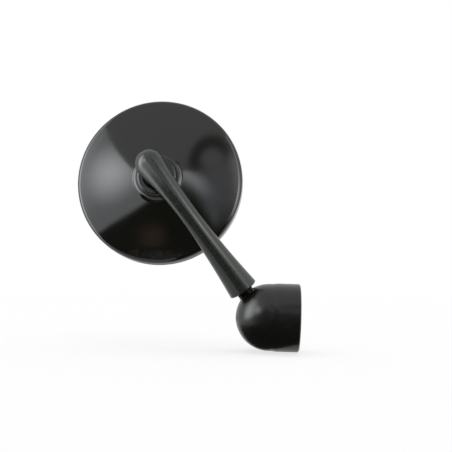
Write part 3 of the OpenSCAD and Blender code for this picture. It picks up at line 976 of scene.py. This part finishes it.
def dark_cloth(name, tint, glow):
    """Felt with a faint glow, thinned by each point's own level."""
    material, tree, surface = stage_material(name)
    level = add_node(tree, "ShaderNodeAttribute", {"attribute_name": "level"}).outputs["Fac"]
    clear = add_node(tree, "ShaderNodeBsdfTransparent")
    felt = add_node(tree, "ShaderNodeEmission", inputs={"Color": linear(tint), "Strength": glow})
    both = add_node(tree, "ShaderNodeMixShader", inputs={
        "Fac": level, 1: clear.outputs["BSDF"], 2: felt.outputs["Emission"]})
    tree.links.new(both.outputs["Shader"], surface)
    return material


def hang_softboxes(stage):
    """The large softbox on the left, the one on the right, and the small window before it."""

    def left_level(azimuth, elevation):
        lamp = soft_spot(azimuth, elevation, LEFT_LAMP_SPOT)
        core = LEFT_CORE_SHARE * soft_spot(azimuth, elevation, LEFT_CORE_SPOT)
        return stage.left_box + stage.left_lamp * max(lamp, core)

    def right_level(azimuth, elevation):
        rise = (azimuth - RIGHT_SPAN[0]) / RIGHT_RISE
        fall = max(RIGHT_LEAST, (RIGHT_FALL_END - azimuth) / RIGHT_FALL)
        return (1 + (stage.right_box - 1) * min(1.0, rise, fall)
                + RIGHT_CORE_LEVEL * soft_spot(azimuth, elevation, RIGHT_CORE_SPOT)
                + RIGHT_STRIP_LEVEL * soft_spot(azimuth, elevation, RIGHT_STRIP_SPOT))

    def window_level(azimuth, elevation):
        aslant = elevation + WINDOW_SLANT * (azimuth - WINDOW_SLANT_START)
        return 1 + stage.window * soft_spot(azimuth, aslant, WINDOW_SPOT)

    hang("left_box", columns_between(LEFT_LOW, LEFT_TOP, LEFT_SPAN, LEFT_GRID), BOX_DISTANCE,
         left_level, glowing_cloth("left_cloth", "#FAFCFF"))
    hang("right_box", columns_between(RIGHT_LOW, RIGHT_TOP, RIGHT_SPAN, RIGHT_GRID), BOX_DISTANCE,
         right_level, glowing_cloth("right_cloth", "#FFFFFF"))
    hang("window", columns_between(WINDOW_LOW, WINDOW_TOP, WINDOW_SPAN, WINDOW_GRID),
         WINDOW_DISTANCE, window_level, glowing_cloth("window_cloth", "#F4F8FF"))


def card_level(azimuth, elevation):
    """1 on the dark card, falling to 0 across the fade above its edge."""
    return smooth(1 - (elevation - edge_at(CARD_TOP, azimuth)) / edge_at(CARD_FADE, azimuth))


def patch_level(azimuth, elevation):
    """A warm spot low in front of the object."""
    return soft_spot(azimuth, elevation, PATCH_SPOT)


def runner_level(azimuth, elevation):
    """A spot on the floor behind the object, which the glass mirrors."""
    return RUNNER_SHARE * soft_spot(azimuth, elevation, RUNNER_SPOT)


def flag_level(azimuth, elevation):
    """The flag that shades the right of the object, thin at three of its edges."""
    azimuths, elevations = FLAG_FIELD
    left, right, upper = FLAG_FADES
    aside = min(1.0, (azimuth - azimuths[0]) / left, (azimuths[-1] - azimuth) / right)
    return FLAG_SHARE * aside * min(1.0, (elevations[-1] - elevation) / upper)


def boom_level(azimuth, elevation):
    """The curved lamp boom at the upper right, soft across its width and open below."""
    aside, above = azimuth - BOOM_MIDDLE[0], elevation - BOOM_MIDDLE[1]
    away = abs(math.hypot(aside, above) - BOOM_RADIUS) / BOOM_HALF_WIDTH
    side = min(1.0, max(0.0, (above - BOOM_LEAN * aside + BOOM_FADE) / BOOM_FADE))
    return BOOM_SHARE * side * max(0.0, 1 - away * away)


def hang_dark_pieces():
    """The dark card with its warm patch, the floor's runner, the flag and the lamp boom."""
    hang("dark_card", card_columns(), CARD_DISTANCE, card_level,
         dark_cloth("black_felt", "#FFF2E0", CARD_GLOW))
    hang("warm_patch", columns_over(PATCH_FIELD), PATCH_DISTANCE, patch_level,
         dark_cloth("warm_patch", "#FFD2B4", PATCH_GLOW))
    hang("floor_runner", columns_over(RUNNER_FIELD), BOX_DISTANCE, runner_level,
         dark_cloth("runner_felt", "#FFFFFF", FELT_GLOW))
    hang("flag", columns_over(FLAG_FIELD), FLAG_DISTANCE, flag_level,
         dark_cloth("flag_felt", "#FFFFFF", FELT_GLOW))
    hang("boom", columns_over(BOOM_FIELD), BOOM_DISTANCE, boom_level,
         dark_cloth("boom_felt", "#FFFFFF", FELT_GLOW))


def lay_floor(colour):
    """A wide plain sheet under the cap."""
    corners = [(x * FLOOR_REACH, y * FLOOR_REACH, FLOOR_HEIGHT)
               for x, y in ((-1, -1), (1, -1), (1, 1), (-1, 1))]
    floor = bpy.data.meshes.new("floor")
    floor.from_pydata(corners, [], [(0, 1, 2, 3)])
    stage_piece("floor", floor, floor_paper(colour))


def hang_lamp(power):
    """The soft lamp overhead, which doesn't show in gloss."""
    lamp = bpy.data.lights.new("overhead", "AREA")
    lamp.energy = power
    lamp.size = LAMP_SIZE
    overhead = bpy.data.objects.new("overhead", lamp)
    overhead.location = LAMP_PLACE
    overhead.visible_glossy = False
    bpy.context.scene.collection.objects.link(overhead)


def set_camera(stage):
    """The camera at the photograph's angle, looking along Y."""
    view = bpy.data.cameras.new("camera")
    view.lens = stage.focal
    view.sensor_width = SENSOR_WIDTH
    view.clip_start = NEAREST_SEEN
    camera = bpy.data.objects.new("camera", view)
    camera.matrix_world = (Matrix.Translation(Vector(stage.camera_place))
                           @ Matrix.Rotation(-stage.camera_roll, 4, "Y")
                           @ Matrix.Rotation(math.pi / 2, 4, "X"))
    bpy.context.scene.collection.objects.link(camera)
    bpy.context.scene.camera = camera


class MIRROR_OT_stage(bpy.types.Operator):
    """Sets the floor, the white room, the lights and the camera."""

    bl_idname = "mirror.stage"
    bl_label = "Stage"

    def execute(self, context):
        stage = context.scene.mirror_stage
        context.scene.view_settings.view_transform = "Standard"
        white_world(stage.world_level)
        lay_floor(stage.floor_colour)
        hang_softboxes(stage)
        hang_dark_pieces()
        hang_lamp(stage.lamp_power)
        set_camera(stage)
        return {"FINISHED"}


class MIRROR_PT_sidebar(bpy.types.Panel):
    """Lists the sizes, the colours and the steps that build the scene."""

    bl_idname = "MIRROR_PT_sidebar"
    bl_label = "Bar End Mirror"
    bl_space_type = "VIEW_3D"
    bl_region_type = "UI"
    bl_category = "Bar End Mirror"

    def draw(self, context):
        layout = self.layout
        for step in STEPS:
            layout.operator(step.bl_idname)
        for group in GROUPS:
            box = layout.box()
            settings = getattr(context.scene, group)
            for name in settings.__annotations__:
                box.prop(settings, name)


GROUPS = {
    "mirror_arm": ArmSizes,
    "mirror_stud": StudSizes,
    "mirror_glass": GlassSizes,
    "mirror_colours": FinishColours,
    "mirror_stage": StageSettings,
}
STEPS = (
    MIRROR_OT_castings,
    MIRROR_OT_bar_fittings,
    MIRROR_OT_neck_stud,
    MIRROR_OT_arm,
    MIRROR_OT_ball_joint,
    MIRROR_OT_clamp,
    MIRROR_OT_glass,
    MIRROR_OT_stage,
)
CLASSES = (*GROUPS.values(), *STEPS, MIRROR_PT_sidebar)


def register():
    """Makes the operators, the settings and the panel known."""
    for kind in CLASSES:
        bpy.utils.register_class(kind)
    for name, group in GROUPS.items():
        setattr(bpy.types.Scene, name, PointerProperty(type=group))


def unregister():
    """Takes them away again."""
    for name in GROUPS:
        delattr(bpy.types.Scene, name)
    for kind in reversed(CLASSES):
        bpy.utils.unregister_class(kind)


def main():
    register()
    for step in STEPS:
        group, name = step.bl_idname.split(".")
        getattr(getattr(bpy.ops, group), name)()


if __name__ == "__main__":
    main()
